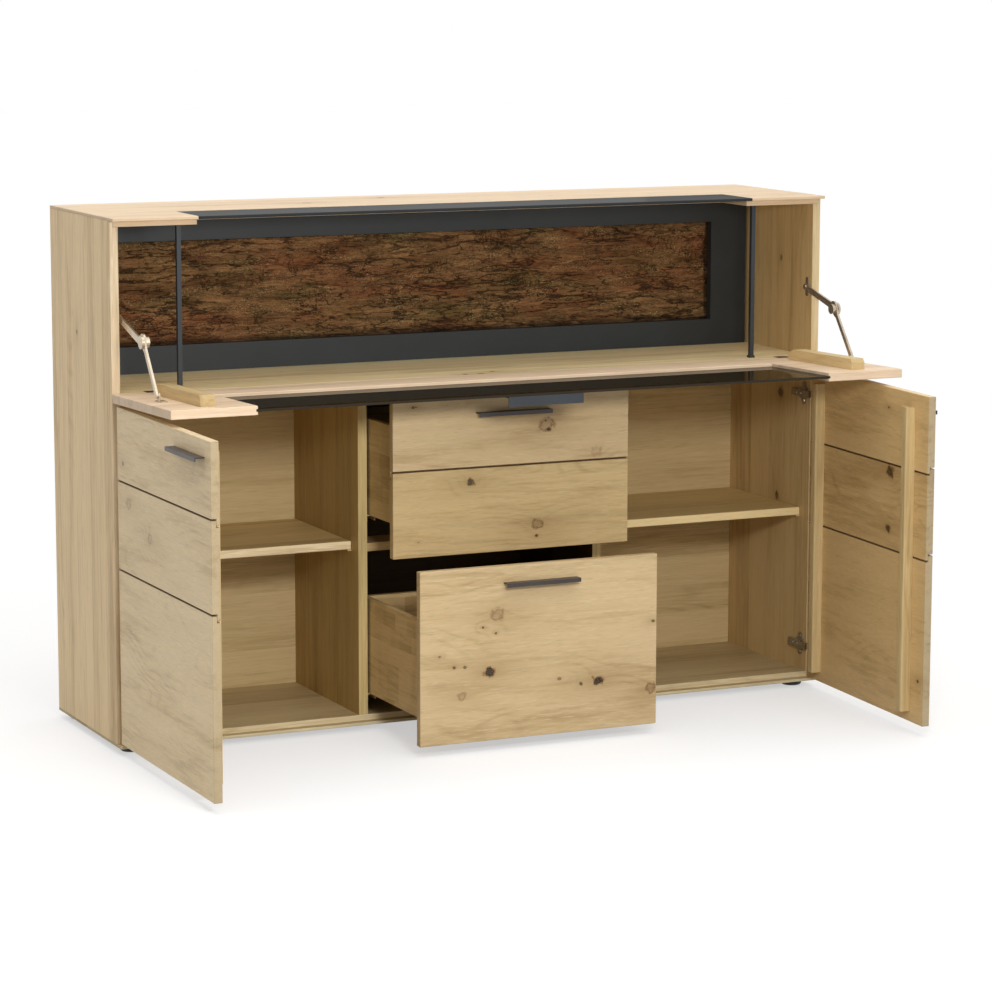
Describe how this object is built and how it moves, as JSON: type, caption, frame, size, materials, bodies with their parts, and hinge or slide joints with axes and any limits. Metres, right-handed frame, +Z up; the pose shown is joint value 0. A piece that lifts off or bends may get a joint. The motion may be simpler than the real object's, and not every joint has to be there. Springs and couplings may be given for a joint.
{
  "type": "highboard",
  "caption": "Oak highboard with a fold-down glazed flap on folding stays, side doors, centre drawers and a bark-lined upper compartment.",
  "frame": {"origin": "centre of the middle foot's floor face, under the middle of the carcass", "axes": "+Z up, +X to the right seen from the front, +Y from the front to the back"},
  "size_m": [1.8163, 1.037, 1.206],
  "materials": {
    "oak_light": "oiled solid oak, bright",
    "oak_side": "oiled solid oak, vertical staves",
    "oak_front": "oiled knotty oak, horizontal staves",
    "oak_inside": "oiled oak, inside surfaces",
    "oak_batten": "oiled oak battens",
    "anthracite": "matt anthracite lacquer",
    "handle_metal": "satin anthracite metal",
    "smoked_glass": "polished smoked glass",
    "bark": "rough natural bark",
    "nickel": "bright nickel-plated steel",
    "black_plastic": "matt black"
  },
  "bodies": {
    "cabinet": {"top_panel": "oak_light", "top_glass": "smoked_glass", "bottom_panel": "oak_front", "deck_panel": "oak_light", "drawer_rail": "oak_inside", "back_panel_lower": "oak_inside", "back_panel_upper": "oak_inside", "back_frame": "anthracite", "bark_panel": "bark", "side_panel_left": "oak_side", "side_panel_right": "oak_side", "divider_left": "oak_inside", "divider_right": "oak_inside", "shelf_left": "oak_inside", "shelf_right": "oak_inside", "post_left": "anthracite", "post_right": "anthracite", "door_hinge_left_upper": "nickel", "door_hinge_left_lower": "nickel", "door_hinge_right_upper": "nickel", "door_hinge_right_lower": "nickel", "flap_hinge_left": "anthracite", "flap_hinge_right": "anthracite", "stay_plate_left": "nickel", "stay_plate_right": "nickel", "foot_centre": "black_plastic", "foot_front_left": "black_plastic", "foot_front_right": "black_plastic", "foot_back_left": "black_plastic", "foot_back_right": "black_plastic"},
    "flap": {"flap_board": "oak_light", "flap_glass": "smoked_glass", "flap_handle": "handle_metal", "flap_batten_left": "oak_batten", "flap_batten_right": "oak_batten", "stay_foot_left": "nickel", "stay_foot_right": "nickel"},
    "stay_left_upper": {"stay_upper_arm_left": "nickel"},
    "stay_left_lower": {"stay_lower_arm_left": "nickel"},
    "stay_right_upper": {"stay_upper_arm_right": "nickel"},
    "stay_right_lower": {"stay_lower_arm_right": "nickel"},
    "door_left": {"door_left_board_top": "oak_front", "door_left_board_middle": "oak_front", "door_left_board_bottom": "oak_front", "door_left_batten_hinge": "oak_batten", "door_left_batten_free": "oak_batten", "door_left_handle": "handle_metal"},
    "door_right": {"door_right_board_top": "oak_front", "door_right_board_middle": "oak_front", "door_right_board_bottom": "oak_front", "door_right_batten_hinge": "oak_batten", "door_right_batten_free": "oak_batten", "door_right_handle": "handle_metal"},
    "drawer_upper": {"drawer_upper_front_lower": "oak_front", "drawer_upper_front_upper": "oak_front", "drawer_upper_box": "oak_inside", "drawer_upper_handle": "handle_metal"},
    "drawer_lower": {"drawer_lower_front": "oak_front", "drawer_lower_box": "oak_inside", "drawer_lower_handle": "handle_metal"}
  },
  "joints": [
    {"name": "flap_hinge", "type": "hinge", "parent": "cabinet", "child": "flap", "pos_m": [0, -0.21875, 0.81375], "axis": [-1, 0, 0], "range_deg": [0, 88.5]},
    {"name": "stay_left_shoulder", "type": "hinge", "parent": "cabinet", "child": "stay_left_upper", "pos_m": [-0.874, -0.194, 0.984], "axis": [-1, 0, 0], "range_deg": [0, 148.5]},
    {"name": "stay_left_elbow", "type": "hinge", "parent": "stay_left_upper", "child": "stay_left_lower", "pos_m": [-0.869, -0.342, 0.944], "axis": [1, 0, 0], "range_deg": [0, 130]},
    {"name": "stay_right_shoulder", "type": "hinge", "parent": "cabinet", "child": "stay_right_upper", "pos_m": [0.874, -0.194, 0.984], "axis": [-1, 0, 0], "range_deg": [0, 148.5]},
    {"name": "stay_right_elbow", "type": "hinge", "parent": "stay_right_upper", "child": "stay_right_lower", "pos_m": [0.869, -0.342, 0.944], "axis": [1, 0, 0], "range_deg": [0, 130]},
    {"name": "door_left_hinge", "type": "hinge", "parent": "cabinet", "child": "door_left", "pos_m": [-0.89175, -0.23225, 0.408], "axis": [0, 0, 1], "range_deg": [-18, 90]},
    {"name": "door_right_hinge", "type": "hinge", "parent": "cabinet", "child": "door_right", "pos_m": [0.89175, -0.23225, 0.408], "axis": [0, 0, -1], "range_deg": [-21.8, 86.2]},
    {"name": "drawer_upper_slide", "type": "slide", "parent": "cabinet", "child": "drawer_upper", "axis": [0, -1, 0], "range_m": [-0.1475, 0.2]},
    {"name": "drawer_lower_slide", "type": "slide", "parent": "cabinet", "child": "drawer_lower", "axis": [0, -1, 0], "range_m": [-0.298, 0.05]}
  ],
  "couplings": [
    {"joint": "stay_left_shoulder", "follows": "flap_hinge", "ratio": 1.6758},
    {"joint": "stay_left_elbow", "follows": "flap_hinge", "ratio": 1.4663},
    {"joint": "stay_right_shoulder", "follows": "flap_hinge", "ratio": 1.6758},
    {"joint": "stay_right_elbow", "follows": "flap_hinge", "ratio": 1.4663}
  ]
}
